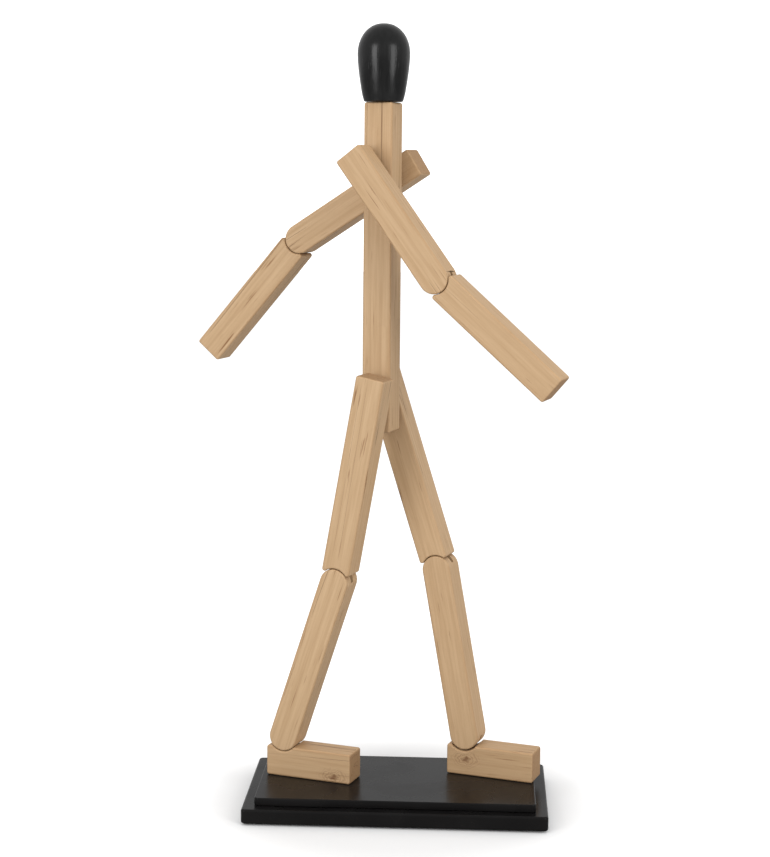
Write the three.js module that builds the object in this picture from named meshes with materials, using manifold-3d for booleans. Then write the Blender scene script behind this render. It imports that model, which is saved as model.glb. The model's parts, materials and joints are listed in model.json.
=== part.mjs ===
// A striding matchstick mannequin: square wooden sticks pinned together, a black match head,
// and a black base of two boards. Millimetres, +Z up, origin at the centre of the underside.
import * as THREE from 'three';
import { mergeVertices } from 'three/addons/utils/BufferGeometryUtils.js';
import Module from 'manifold-3d';

const wasm = await Module();
wasm.setup();

// ---- driving dimensions ---------------------------------------------------------------------

const STICK = 20;               // every limb is a square stick this wide
const HALF = STICK / 2;
const EDGE_BREAK = 0.8;         // sanded edges along a stick
const CORNER_ROUND = 1.6;       // sanded corners at a stick's free end
const GAP = 0.3;                // air between two pieces that move or touch
const GLUE_LINE = 0.05;         // between two flat pieces that are glued

const BOARD = { length: 204, width: 112, thick: 10, corner: 2.5, edge: 1.2 };
const STEP = 8;                 // the upper board stands back by this all round
const UPPER_THICK = 5.5;
const FELT = { inset: 4, thick: 1 };
const FIGURE_TURN = -18;        // degrees about Z, figure against base
const FIGURE_AT = [-14.4, 13.9];  // the torso's axis on the base

const FOOT = { length: 62, height: 21, heel: 12 };
const SOCKET_STANDOFF = 7;      // a socketed end stops this far short of its pivot
const THIGH = 112.8;            // hip pivot to knee pivot
const SHIN = 117;               // knee pivot to ankle pivot
const THIGH_OVER = 29.8;        // thigh above the hip pivot
const HIP_Z = 266.5;
const THIGH_LEAN = { right: -10.3, left: 18.4 };   // degrees forward of straight down
const TORSO_UNDER = 10;         // torso below the hip pivot
const TORSO_TOP = 476.4;
const SHOULDER_Z = 426.9;
const UPPER_ARM = 80.4;         // shoulder pivot to elbow pivot
const ARM_OVER = 19.8;          // upper arm above the shoulder pivot
const FOREARM = 106.6;          // elbow pivot to the end of the forearm
const ARM_SWING = { right: 37, left: -57.6 };
const FOREARM_SWING = { right: 49.6, left: -40.9 };

const SPACER = { thick: 5, radius: 8 };            // holds a limb off the torso
const AXLE_RADIUS = 3;          // hip and shoulder pins
const PIN_RADIUS = 2;           // knee, elbow and ankle pins
const PIN_CLEARANCE = 0.15;
const BLIND_SKIN = 3.5;         // wood left over a pin at the outer face
const TONGUE = { thick: 3, radius: 5.2, buried: 14 };
const SLOT_AIR = 0.7;           // round a tongue's end in its slot
const SLOT_SWING = { knee: 35, ankle: 35, elbow: 46 };   // degrees a tongue can swing each way
const OPEN_PIVOT_PLAY = 0.8;    // extra room at the left ankle, where the leg linkage is opened

const HEAD = {
  height: 51.2, radius: 17.45, widest: 31, foot: 13.3, rim: 1.4,
  bodyCurve: 1.55, domeAcross: 0.93, domeUp: 0.97,   // powers that shape the body and the dome
};
const NECK = { radius: 4, intoHead: 16, intoTorso: 20 };
const SCREW = { head: 4, cone: 2.6, shank: 1.75, tip: 2.5, intoFoot: 13, fromHeel: [29, 50] };

const ARC_STEPS = 6;            // segments in a quarter of a stick's round end
const CORNER_STEPS = 2;         // segments in a sanded corner
const ROUND_SIDES = 20;         // sides of a pin or hole
const HEAD_SIDES = 28;
const HEAD_STEPS = { rim: 3, body: 8, dome: 10 };

const BASE_TOP = FELT.thick + BOARD.thick + UPPER_THICK;
const ANKLE_Z = BASE_TOP + FOOT.height + SOCKET_STANDOFF;
const LIMB_OFFSET = HALF + SPACER.thick + HALF;    // limb's middle from the torso's middle
const SIDES = ['right', 'left'];
const outward = { right: -1, left: 1 };            // +Y is the figure's left

// ---- colours --------------------------------------------------------------------------------

const LOOKS = {
  wood: { color: 0xc7a880, roughness: 0.55, metalness: 0 },
  darkWood: { color: 0xa9855c, roughness: 0.6, metalness: 0 },
  black: { color: 0x1d1b1a, roughness: 0.35, metalness: 0 },
  felt: { color: 0x141414, roughness: 0.95, metalness: 0 },
  steel: { color: 0x8d8f92, roughness: 0.35, metalness: 1 },
};

// ---- helpers --------------------------------------------------------------------------------

const radians = THREE.MathUtils.degToRad;

function solidOf(geometry) {
  const bare = geometry.clone();
  bare.deleteAttribute('normal');
  bare.deleteAttribute('uv');
  const merged = mergeVertices(bare, 1e-4);
  return new wasm.Manifold(new wasm.Mesh({
    numProp: 3,
    vertProperties: new Float32Array(merged.attributes.position.array),
    triVerts: new Uint32Array(merged.index.array),
  }));
}

function cutFrom(geometry, tools) {
  let solid = solidOf(geometry);
  for (const tool of tools) solid = solid.subtract(solidOf(tool));
  const { vertProperties, triVerts } = solid.getMesh();
  const result = new THREE.BufferGeometry();
  result.setAttribute('position', new THREE.BufferAttribute(vertProperties, 3));
  result.setIndex(new THREE.BufferAttribute(triVerts, 1));
  result.computeVertexNormals();
  return result;
}

function piece(name, geometry, look, position = [0, 0, 0], swing = 0) {
  const mesh = new THREE.Mesh(geometry, new THREE.MeshStandardMaterial(LOOKS[look]));
  mesh.name = name;
  mesh.position.set(...position);
  mesh.rotation.y = -radians(swing);      // a positive swing takes a hanging stick forward
  return mesh;
}

function box(sizeX, sizeY, sizeZ, at = [0, 0, 0]) {
  return new THREE.BoxGeometry(sizeX, sizeY, sizeZ).translate(...at);
}

// A round bar along Y from y0 to y1, at height z.
function rodAcross(radius, y0, y1, z = 0) {
  return new THREE.CylinderGeometry(radius, radius, y1 - y0, ROUND_SIDES)
    .translate(0, (y0 + y1) / 2, z);
}

function rodUpright(radius, z0, z1) {
  return new THREE.CylinderGeometry(radius, radius, z1 - z0, ROUND_SIDES)
    .rotateX(Math.PI / 2).translate(0, 0, (z0 + z1) / 2);
}

// An outline in X and Z, thickened evenly about Y = 0.
function thicken(outline, thick, edge) {
  const settings = {
    depth: thick - 2 * edge, curveSegments: ARC_STEPS, bevelEnabled: edge > 0,
    bevelThickness: edge, bevelSize: edge, bevelOffset: -edge, bevelSegments: 1,
  };
  return new THREE.ExtrudeGeometry(outline, settings)
    .translate(0, 0, edge - thick / 2).rotateX(Math.PI / 2);
}

// A quarter turn of radius r about (x, y), counter-clockwise from the angle first.
function addCorner(outline, x, y, r, first) {
  for (let i = 0; i <= CORNER_STEPS; i += 1) {
    const angle = first + (i / CORNER_STEPS) * (Math.PI / 2);
    const point = [x + r * Math.cos(angle), y + r * Math.sin(angle)];
    if (outline.curves.length || i) outline.lineTo(...point);
    else outline.moveTo(...point);
  }
}

function addCornersOf(outline, x0, x1, y0, y1, r) {
  addCorner(outline, x1 - r, y0 + r, r, -Math.PI / 2);
  addCorner(outline, x1 - r, y1 - r, r, 0);
  addCorner(outline, x0 + r, y1 - r, r, Math.PI / 2);
  addCorner(outline, x0 + r, y0 + r, r, Math.PI);
  outline.closePath();
}

// One end of an upright outline: a half circle about a pivot, or a square end with sanded corners.
function addEnd(outline, halfWidth, z, round, up) {
  const first = up ? 0 : Math.PI;
  const middle = first + Math.PI / 2;
  if (round) {
    outline.absarc(0, z, halfWidth, first, middle, false);
    outline.absarc(0, z, halfWidth, middle, first + Math.PI, false);
    return;
  }
  const side = up ? 1 : -1;
  const inset = side * (halfWidth - CORNER_ROUND);
  const level = z - side * CORNER_ROUND;
  addCorner(outline, inset, level, CORNER_ROUND, first);
  addCorner(outline, -inset, level, CORNER_ROUND, middle);
}

function stickOutline(topZ, bottomZ, { roundTop = false, roundBottom = false, half = HALF } = {}) {
  const outline = new THREE.Shape();
  addEnd(outline, half, bottomZ, roundBottom, false);
  addEnd(outline, half, topZ, roundTop, true);
  outline.closePath();
  return outline;
}

// ---- cuts in a stick, all in the stick's own frame: X forward, Y to the left, Z along it -----

const socketCut = (pivotZ, play = 0) => rodAcross(HALF + GAP + play, -STICK, STICK, pivotZ);

// The slot across a rounded end. Its floor is round under the tongue and opens out to the side
// faces at the angle that the tongue swings to. side is +1 at a top end.
function slotCut(pivotZ, side, swing) {
  const radius = TONGUE.radius + SLOT_AIR;
  const angle = radians(swing);
  const out = HALF + EDGE_BREAK;
  const run = (out - radius * Math.cos(angle)) / Math.sin(angle);
  const mouth = run * Math.cos(angle) - radius * Math.sin(angle);
  const points = [];
  for (let i = 0; i <= 2 * ARC_STEPS; i += 1) {
    const turn = Math.PI + angle + (i / (2 * ARC_STEPS)) * (Math.PI - 2 * angle);
    points.push([radius * Math.cos(turn), radius * Math.sin(turn)]);
  }
  points.push([out, mouth], [out, STICK], [-out, STICK], [-out, mouth]);
  const placed = points.map(([x, z]) => new THREE.Vector2(side * x, pivotZ + side * z));
  return thicken(new THREE.Shape(placed), TONGUE.thick + 2 * GAP, 0);
}

// The mortise in a socketed end, which holds the tongue. side is +1 when the wood lies above.
function mortiseCut(pivotZ, side) {
  const depth = TONGUE.buried + SOCKET_STANDOFF + GAP;
  const width = 2 * (TONGUE.radius + GAP);
  return box(width, TONGUE.thick + 2 * GAP, depth, [0, 0, pivotZ + side * depth / 2]);
}

// A blind hole from a limb's inner face. inner is +1 when the torso lies towards +Y.
function blindHole(radius, inner, z) {
  const deep = inner * (HALF - BLIND_SKIN + GAP);
  return inner > 0
    ? rodAcross(radius, -deep, STICK, z)
    : rodAcross(radius, -STICK, -deep, z);
}

// Joint pins all go in from the figure's left, so that none shows on its right.
const jointHole = (z) => blindHole(PIN_RADIUS + PIN_CLEARANCE, 1, z);
const axleHole = (inner, z) => blindHole(AXLE_RADIUS + PIN_CLEARANCE, inner, z);

// ---- pieces of a joint ----------------------------------------------------------------------

// The flat tongue of a knee, elbow or ankle. Its round end is at the origin; side as in mortiseCut.
function tongueGeometry(side, play = 0) {
  const buriedEnd = side * (TONGUE.buried + SOCKET_STANDOFF);
  const options = { half: TONGUE.radius, roundTop: side < 0, roundBottom: side > 0 };
  const outline = stickOutline(Math.max(buriedEnd, 0), Math.min(buriedEnd, 0), options);
  const hole = rodAcross(PIN_RADIUS + PIN_CLEARANCE + play, -STICK, STICK);
  return cutFrom(thicken(outline, TONGUE.thick, 0), [hole]);
}

const jointPinGeometry = () => rodAcross(PIN_RADIUS, BLIND_SKIN - HALF, HALF - GAP);

const axleGeometry = () => {
  const reach = LIMB_OFFSET + HALF - BLIND_SKIN;
  return rodAcross(AXLE_RADIUS, -reach, reach);
};

function spacerGeometry() {
  const half = SPACER.thick / 2 - GAP;
  const disc = rodAcross(SPACER.radius, -half, half);
  return cutFrom(disc, [rodAcross(AXLE_RADIUS + PIN_CLEARANCE, -STICK, STICK)]);
}

// ---- base -----------------------------------------------------------------------------------

function boardGeometry(length, width, thick, corner, edge) {
  const outline = new THREE.Shape();
  addCornersOf(outline, -length / 2, length / 2, -width / 2, width / 2, corner);
  const settings = {
    depth: thick - 2 * edge, bevelEnabled: edge > 0,
    bevelThickness: edge, bevelSize: edge, bevelOffset: -edge, bevelSegments: 1,
  };
  return new THREE.ExtrudeGeometry(outline, settings).translate(0, 0, edge);
}

function toBase(point) {
  const turned = new THREE.Vector2(...point).rotateAround(new THREE.Vector2(), radians(FIGURE_TURN));
  return [turned.x + FIGURE_AT[0], turned.y + FIGURE_AT[1]];
}

// Foot screws, each at a place in the figure's own frame.
function screwPlaces(footHeel, side) {
  return SCREW.fromHeel.map((along) => [footHeel + along, outward[side] * LIMB_OFFSET]);
}

function screwGeometry() {
  const top = BOARD.thick + UPPER_THICK + SCREW.intoFoot;
  const profile = [
    [0, 0], [SCREW.head, 0], [SCREW.shank, SCREW.cone],
    [SCREW.shank, top - SCREW.tip], [0, top],
  ].map(([r, z]) => new THREE.Vector2(r, z));
  return new THREE.LatheGeometry(profile, ROUND_SIDES).rotateX(Math.PI / 2);
}

function screwHole() {
  const top = BOARD.thick + UPPER_THICK + SCREW.intoFoot + 2 * GAP;
  const mouth = SCREW.head + 2 * GAP;
  const shank = SCREW.shank + PIN_CLEARANCE;
  const profile = [
    [0, -GAP], [mouth, -GAP], [mouth, GAP], [shank, SCREW.cone + 2 * GAP], [shank, top], [0, top],
  ].map(([r, z]) => new THREE.Vector2(r, z));
  return new THREE.LatheGeometry(profile, ROUND_SIDES).rotateX(Math.PI / 2);
}

// ---- limbs ----------------------------------------------------------------------------------

function footGeometry(side) {
  const play = side === 'left' ? OPEN_PIVOT_PLAY : 0;
  const outline = new THREE.Shape();
  const heel = -FOOT.heel;
  const toe = FOOT.length - FOOT.heel;
  const sole = -FOOT.height - SOCKET_STANDOFF + GLUE_LINE;
  addCornersOf(outline, heel, toe, sole, -SOCKET_STANDOFF, CORNER_ROUND);
  const screwDrop = FELT.thick - ANKLE_Z;
  const screws = SCREW.fromHeel.map((along) => screwHole().translate(heel + along, 0, screwDrop));
  return cutFrom(thicken(outline, STICK, EDGE_BREAK), [
    socketCut(0, play), mortiseCut(0, -1), ...screws,
  ]);
}

function shinGeometry() {
  const outline = stickOutline(0, -SHIN, { roundTop: true, roundBottom: true });
  return cutFrom(thicken(outline, STICK, EDGE_BREAK), [
    slotCut(0, 1, SLOT_SWING.knee), slotCut(-SHIN, -1, SLOT_SWING.ankle),
    jointHole(0), jointHole(-SHIN),
  ]);
}

function thighGeometry(inner) {
  const outline = stickOutline(THIGH_OVER, SOCKET_STANDOFF - THIGH);
  return cutFrom(thicken(outline, STICK, EDGE_BREAK), [
    socketCut(-THIGH), mortiseCut(-THIGH, 1), axleHole(inner, 0),
  ]);
}

function upperArmGeometry(inner) {
  const outline = stickOutline(ARM_OVER, -UPPER_ARM, { roundBottom: true });
  return cutFrom(thicken(outline, STICK, EDGE_BREAK), [
    slotCut(-UPPER_ARM, -1, SLOT_SWING.elbow), axleHole(inner, 0), jointHole(-UPPER_ARM),
  ]);
}

function forearmGeometry() {
  const outline = stickOutline(-SOCKET_STANDOFF, -FOREARM);
  return cutFrom(thicken(outline, STICK, EDGE_BREAK), [socketCut(0), mortiseCut(0, -1)]);
}

function torsoGeometry() {
  const outline = stickOutline(TORSO_TOP - GAP - HIP_Z, -TORSO_UNDER);
  const neckFloor = TORSO_TOP - NECK.intoTorso - GAP - HIP_Z;
  return cutFrom(thicken(outline, STICK, EDGE_BREAK), [
    rodAcross(AXLE_RADIUS + PIN_CLEARANCE, -STICK, STICK),
    rodAcross(AXLE_RADIUS + PIN_CLEARANCE, -STICK, STICK, SHOULDER_Z - HIP_Z),
    rodUpright(NECK.radius + PIN_CLEARANCE, neckFloor, TORSO_TOP + STICK - HIP_Z),
  ]);
}

// The match head's outline: a domed top over a body that narrows to a flat foot with a soft rim.
function headProfile() {
  const { height, radius, widest, foot, rim, bodyCurve, domeAcross, domeUp } = HEAD;
  const profile = [new THREE.Vector2(0, 0), new THREE.Vector2(foot - rim, 0)];
  for (let i = 1; i <= HEAD_STEPS.rim; i += 1) {
    const turn = (i / HEAD_STEPS.rim) * (Math.PI / 2);
    const x = foot - rim + rim * Math.sin(turn);
    profile.push(new THREE.Vector2(x, rim * (1 - Math.cos(turn))));
  }
  for (let i = 1; i <= HEAD_STEPS.body; i += 1) {
    const z = rim + (widest - rim) * (i / HEAD_STEPS.body);
    const drop = (widest - z) / widest;
    profile.push(new THREE.Vector2(radius - (radius - foot) * drop ** bodyCurve, z));
  }
  for (let i = 1; i < HEAD_STEPS.dome; i += 1) {
    const turn = (i / HEAD_STEPS.dome) * (Math.PI / 2);
    const x = radius * Math.cos(turn) ** domeAcross;
    profile.push(new THREE.Vector2(x, widest + (height - widest) * Math.sin(turn) ** domeUp));
  }
  profile.push(new THREE.Vector2(0, height));
  return profile;
}

function headGeometry() {
  const body = new THREE.LatheGeometry(headProfile(), HEAD_SIDES).rotateX(Math.PI / 2);
  const bore = rodUpright(NECK.radius + PIN_CLEARANCE, -STICK, NECK.intoHead + GAP);
  return cutFrom(body, [bore]);
}

// ---- assembly -------------------------------------------------------------------------------

function below(pivot, length, swing) {
  const angle = radians(swing);
  return { x: pivot.x + length * Math.sin(angle), z: pivot.z - length * Math.cos(angle) };
}

const hip = { x: 0, z: HIP_Z };
const shoulder = { x: 0, z: SHOULDER_Z };

// The pivots and swings of one leg. The shin's swing brings the ankle to its height.
function legPose(side) {
  const thighSwing = THIGH_LEAN[side];
  const knee = below(hip, THIGH, thighSwing);
  const bend = THREE.MathUtils.radToDeg(Math.acos((knee.z - ANKLE_Z) / SHIN));
  const shinSwing = Math.sign(thighSwing) * bend;
  return { thighSwing, shinSwing, knee, ankle: below(knee, SHIN, shinSwing) };
}

function buildLeg(side) {
  const { thighSwing, shinSwing, knee, ankle } = legPose(side);
  const inner = -outward[side];
  const y = outward[side] * LIMB_OFFSET;
  const play = side === 'left' ? OPEN_PIVOT_PLAY : 0;
  const ankleAt = [ankle.x, y, ankle.z];
  const kneeAt = [knee.x, y, knee.z];
  const meshes = [
    piece(`${side}_foot`, footGeometry(side), 'wood', ankleAt),
    piece(`${side}_ankle_tongue`, tongueGeometry(-1, play), 'darkWood', ankleAt),
    piece(`${side}_ankle_pin`, jointPinGeometry(), 'steel', ankleAt),
    piece(`${side}_shin`, shinGeometry(), 'wood', kneeAt, shinSwing),
    piece(`${side}_knee_pin`, jointPinGeometry(), 'steel', kneeAt),
    piece(`${side}_knee_tongue`, tongueGeometry(1), 'darkWood', kneeAt, thighSwing),
    piece(`${side}_thigh`, thighGeometry(inner), 'wood', [hip.x, y, hip.z], thighSwing),
    piece(`${side}_hip_spacer`, spacerGeometry(), 'darkWood',
      [hip.x, outward[side] * (HALF + SPACER.thick / 2), hip.z]),
  ];
  screwPlaces(ankle.x - FOOT.heel, side).forEach(([x, yScrew], i) => {
    const name = `${side}_foot_screw_${i + 1}`;
    meshes.push(piece(name, screwGeometry(), 'steel', [x, yScrew, FELT.thick + GAP]));
  });
  return meshes;
}

function buildArm(side) {
  const inner = -outward[side];
  const y = outward[side] * LIMB_OFFSET;
  const swing = ARM_SWING[side];
  const elbow = below(shoulder, UPPER_ARM, swing);
  const bent = FOREARM_SWING[side];
  return [
    piece(`${side}_upper_arm`, upperArmGeometry(inner), 'wood', [shoulder.x, y, shoulder.z], swing),
    piece(`${side}_elbow_pin`, jointPinGeometry(), 'steel', [elbow.x, y, elbow.z]),
    piece(`${side}_elbow_tongue`, tongueGeometry(-1), 'darkWood', [elbow.x, y, elbow.z], bent),
    piece(`${side}_forearm`, forearmGeometry(), 'wood', [elbow.x, y, elbow.z], bent),
    piece(`${side}_shoulder_spacer`, spacerGeometry(), 'darkWood',
      [shoulder.x, outward[side] * (HALF + SPACER.thick / 2), shoulder.z]),
  ];
}

function buildBody() {
  const neck = rodUpright(NECK.radius, -NECK.intoTorso, NECK.intoHead);
  return [
    piece('hip_pin', axleGeometry(), 'steel', [hip.x, 0, hip.z]),
    piece('shoulder_pin', axleGeometry(), 'steel', [shoulder.x, 0, shoulder.z]),
    piece('torso', torsoGeometry(), 'wood', [hip.x, 0, hip.z]),
    piece('neck_dowel', neck, 'darkWood', [0, 0, TORSO_TOP]),
    piece('head', headGeometry(), 'black', [0, 0, TORSO_TOP]),
  ];
}

function buildBase() {
  const places = SIDES.flatMap((side) => {
    const heel = legPose(side).ankle.x - FOOT.heel;
    return screwPlaces(heel, side).map(toBase);
  });
  const holes = () => places.map(([x, y]) => screwHole().translate(x, y, FELT.thick));
  const feltLength = BOARD.length - 2 * FELT.inset;
  const feltWidth = BOARD.width - 2 * FELT.inset;
  const felt = boardGeometry(feltLength, feltWidth, FELT.thick - GLUE_LINE, BOARD.corner, 0);
  const lower = boardGeometry(BOARD.length, BOARD.width, BOARD.thick - GLUE_LINE,
    BOARD.corner, BOARD.edge).translate(0, 0, FELT.thick);
  const upper = boardGeometry(BOARD.length - 2 * STEP, BOARD.width - 2 * STEP,
    UPPER_THICK, BOARD.corner, BOARD.edge / 2).translate(0, 0, FELT.thick + BOARD.thick);
  return [
    piece('base_felt', felt, 'felt'),
    piece('base_lower_board', cutFrom(lower, holes()), 'black'),
    piece('base_upper_board', cutFrom(upper, holes()), 'black'),
  ];
}

const figure = new THREE.Group();
figure.position.set(FIGURE_AT[0], FIGURE_AT[1], 0);
figure.rotation.z = radians(FIGURE_TURN);
figure.add(...buildBody());
SIDES.forEach((side) => figure.add(...buildLeg(side), ...buildArm(side)));

const mannequin = new THREE.Group();
mannequin.add(...buildBase(), figure);

export default mannequin;
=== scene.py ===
# %% [markdown]
# # A striding matchstick mannequin
# The real figure is eleven square sticks of pale wood, pinned together so that each joint stays where
# it is put. It has a blank black match head and strides over a plinth of two black boards.
# This lesson starts from the fixed frame: a plain model of every piece, in metres, that already says
# where each piece is and which body it moves with. Every piece is then made again in a finer form
# and takes the plain one's place.

# %% Load the fixed frame
import json
import math

import bmesh
import bpy
from mathutils import Matrix, Vector

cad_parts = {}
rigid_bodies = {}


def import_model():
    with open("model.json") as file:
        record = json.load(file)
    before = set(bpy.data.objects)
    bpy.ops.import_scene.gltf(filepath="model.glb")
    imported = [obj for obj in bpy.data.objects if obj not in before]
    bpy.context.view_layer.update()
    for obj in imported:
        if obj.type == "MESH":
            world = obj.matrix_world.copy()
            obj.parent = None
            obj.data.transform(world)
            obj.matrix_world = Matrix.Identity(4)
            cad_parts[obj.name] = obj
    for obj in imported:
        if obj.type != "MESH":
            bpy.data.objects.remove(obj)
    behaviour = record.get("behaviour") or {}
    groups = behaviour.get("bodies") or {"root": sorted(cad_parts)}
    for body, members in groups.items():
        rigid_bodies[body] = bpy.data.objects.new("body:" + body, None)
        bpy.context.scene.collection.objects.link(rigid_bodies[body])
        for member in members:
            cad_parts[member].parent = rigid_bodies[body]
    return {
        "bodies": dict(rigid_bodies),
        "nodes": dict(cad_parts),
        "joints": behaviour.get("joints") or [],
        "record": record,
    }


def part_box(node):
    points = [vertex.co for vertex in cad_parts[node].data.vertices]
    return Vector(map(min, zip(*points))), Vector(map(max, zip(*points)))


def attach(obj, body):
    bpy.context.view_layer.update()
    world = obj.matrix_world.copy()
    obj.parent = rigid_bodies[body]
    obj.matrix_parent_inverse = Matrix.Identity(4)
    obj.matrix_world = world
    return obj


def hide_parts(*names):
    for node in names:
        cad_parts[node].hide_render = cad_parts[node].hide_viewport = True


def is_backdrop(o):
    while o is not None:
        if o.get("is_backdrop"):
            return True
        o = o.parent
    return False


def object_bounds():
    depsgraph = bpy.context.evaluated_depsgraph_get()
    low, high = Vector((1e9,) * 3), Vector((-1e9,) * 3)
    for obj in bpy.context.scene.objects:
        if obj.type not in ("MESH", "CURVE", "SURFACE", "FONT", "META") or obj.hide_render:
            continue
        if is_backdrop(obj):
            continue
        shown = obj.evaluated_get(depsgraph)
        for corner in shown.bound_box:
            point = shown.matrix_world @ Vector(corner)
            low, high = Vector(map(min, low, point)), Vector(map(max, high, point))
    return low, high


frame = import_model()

MM = 0.001
framed = set(frame["nodes"].values()) | set(frame["bodies"].values())
for leftover in set(bpy.data.objects) - framed:     # the cube, lamp and camera of a new file
    bpy.data.objects.remove(leftover)
cad_low, cad_high = (corner.copy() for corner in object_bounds())
print("object, mm:", [round(side / MM, 1) for side in cad_high - cad_low])

# %% [markdown]
# ## The camera
# A long lens far away keeps upright sticks upright, as in a catalogue picture. The camera stands a
# little to the right of the middle and looks slightly down, so the top of the plinth shows as a thin
# band. Its place is given by angles round a target, which is easier to reason about than three numbers.

# %% Camera
VIEW = {"azimuth": 2.82, "elevation": 8.20, "roll": 0.50, "distance": 1270.42 * MM, "lens": 79.49}
TARGET = Vector((-10.85 * MM, 0, 259.9 * MM))


def linked(name, data):
    """A new object for some data, in the scene."""
    thing = bpy.data.objects.new(name, data)
    bpy.context.scene.collection.objects.link(thing)
    return thing


def direction_at(azimuth, elevation):
    """The unit vector from the object towards a place at these angles, in degrees."""
    a, e = math.radians(azimuth), math.radians(elevation)
    return Vector((math.sin(a) * math.cos(e), -math.cos(a) * math.cos(e), math.sin(e)))


def make_camera():
    lens = bpy.data.cameras.new("camera")
    lens.lens, lens.sensor_width, lens.sensor_fit = VIEW["lens"], 36, "AUTO"
    camera = linked("camera", lens)
    back = direction_at(VIEW["azimuth"], VIEW["elevation"])
    level = Vector((0, 0, 1)).cross(back).normalized()
    turn = Matrix((level, back.cross(level), back)).transposed().to_4x4()
    roll = Matrix.Rotation(math.radians(VIEW["roll"]), 4, "Z")
    camera.matrix_world = Matrix.Translation(TARGET + back * VIEW["distance"]) @ turn @ roll
    return camera


bpy.context.scene.camera = make_camera()
print("camera at", [round(value, 3) for value in bpy.context.scene.camera.matrix_world.translation])

# %% [markdown]
# ## Helpers for node trees
# Materials and Geometry Nodes are both trees of nodes. One helper adds a node and sets its properties,
# and another fills inputs with numbers or with other nodes' outputs, so a tree reads like a list of steps.

# %% Helpers for trees
def fill(tree, node, inputs):
    """Gives each input of a node its value, which is either a constant or another node's output."""
    for name, value in inputs.items():
        if isinstance(value, bpy.types.NodeSocket):
            tree.links.new(value, node.inputs[name])
        else:
            node.inputs[name].default_value = value


def put(tree, kind, inputs=None, **settings):
    """Adds a node to the tree, with its settings and its inputs."""
    node = tree.nodes.new(kind)
    for name, value in settings.items():
        setattr(node, name, value)
    fill(tree, node, inputs or {})
    return node


def sum_up(tree, operation, a, b=0.0, c=0.0):
    """One Math node, as its result."""
    return put(tree, "ShaderNodeMath", {0: a, 1: b, 2: c}, operation=operation).outputs[0]


def times(tree, a, b):
    return sum_up(tree, "MULTIPLY", a, b)


def spread(tree, value, low, high, to_low=0.0, to_high=1.0):
    """A smooth ramp from low to high, held at its ends."""
    inputs = {"Value": value, "From Min": low, "From Max": high, "To Min": to_low, "To Max": to_high}
    return put(tree, "ShaderNodeMapRange", inputs, interpolation_type="SMOOTHSTEP").outputs[0]


def new_tree(name, kind, inputs, outputs):
    """A node group with named sockets. Gives back the tree, its inputs and its output node."""
    tree = bpy.data.node_groups.new(name, kind)
    for label, socket, default in inputs:
        made = tree.interface.new_socket(label, in_out="INPUT", socket_type="NodeSocket" + socket)
        if default is not None:
            made.default_value = default
    for label, socket in outputs:
        tree.interface.new_socket(label, in_out="OUTPUT", socket_type="NodeSocket" + socket)
    given = tree.nodes.new("NodeGroupInput").outputs
    return tree, given, tree.nodes.new("NodeGroupOutput")


# %% [markdown]
# ## Reading the figure's own axes from the frame
# Every joint turns about the same sideways direction, so the figure has its own axes: forward,
# sideways and up. The pins say where the pivots are. Nothing is placed by eye.

# %% Axes and pivots
joint_axis = Vector(next(j for j in frame["joints"] if j["name"] == "right_knee")["axis"]).normalized()
UP = Vector((0, 0, 1))
FORWARD = UP.cross(joint_axis).normalized()


def middle(node):
    low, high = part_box(node)
    return (low + high) / 2


def reach(node, direction, start):
    """How far a node stretches along a direction from a start point: lowest and highest."""
    steps = [(vertex.co - start).dot(direction) for vertex in frame["nodes"][node].data.vertices]
    return min(steps), max(steps)


def level_with(point, node):
    """The point moved sideways until it is level with a node's middle."""
    return point + joint_axis * (middle(node) - point).dot(joint_axis)


HALF = reach("torso", FORWARD, middle("torso"))[1]     # half a stick's width
AIR = 0.3 * MM                  # between two pieces that move or touch
PIN_AIR = 0.15 * MM             # round a pin in its hole
OPEN_PLAY = 0.8 * MM            # extra room at the left ankle, where the leg linkage is opened
PAST = 2 * MM                   # how far a cut runs past the outside
SLOT_HALF = reach("right_knee_tongue", joint_axis, middle("right_knee_tongue"))[1] + AIR
print("a stick is", round(2 * HALF / MM, 2), "mm square; forward is", [round(v, 3) for v in FORWARD])

# %% [markdown]
# ## Sawn pieces
# A sawn and sanded piece, whether a stick, a tongue or a board, is one flat outline with a thickness,
# and its rims are rounded by sandpaper. That is a rule, so Geometry Nodes make it: a straight rail
# runs through the thickness, the outline is swept along it, and near both ends each ring moves inwards
# on a quarter circle. Slots and holes are then cut away with booleans, as on a bench.
# The outline carries an attribute that says which way is inwards at each of its points.

# %% The tree for sawn pieces
def cut_away(tree, mesh, tools):
    """Subtracts the mesh of each tool object in turn."""
    for tool in tools:
        info = put(tree, "GeometryNodeObjectInfo", {"Object": tool}, transform_space="ORIGINAL")
        settings = {"Mesh 1": mesh, "Mesh 2": info.outputs["Geometry"]}
        mesh = put(tree, "GeometryNodeMeshBoolean", settings, operation="DIFFERENCE",
                   solver="EXACT").outputs["Mesh"]
    return mesh


def finish_tree(tree, mesh, material, result):
    real = put(tree, "GeometryNodeRealizeInstances", {"Geometry": mesh}).outputs[0]
    painted = put(tree, "GeometryNodeSetMaterial", {"Geometry": real, "Material": material}).outputs[0]
    tree.links.new(painted, result.inputs[0])
    return tree


def named(tree, name, kind):
    return put(tree, "GeometryNodeInputNamedAttribute", {"Name": name}, data_type=kind).outputs[0]


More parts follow.
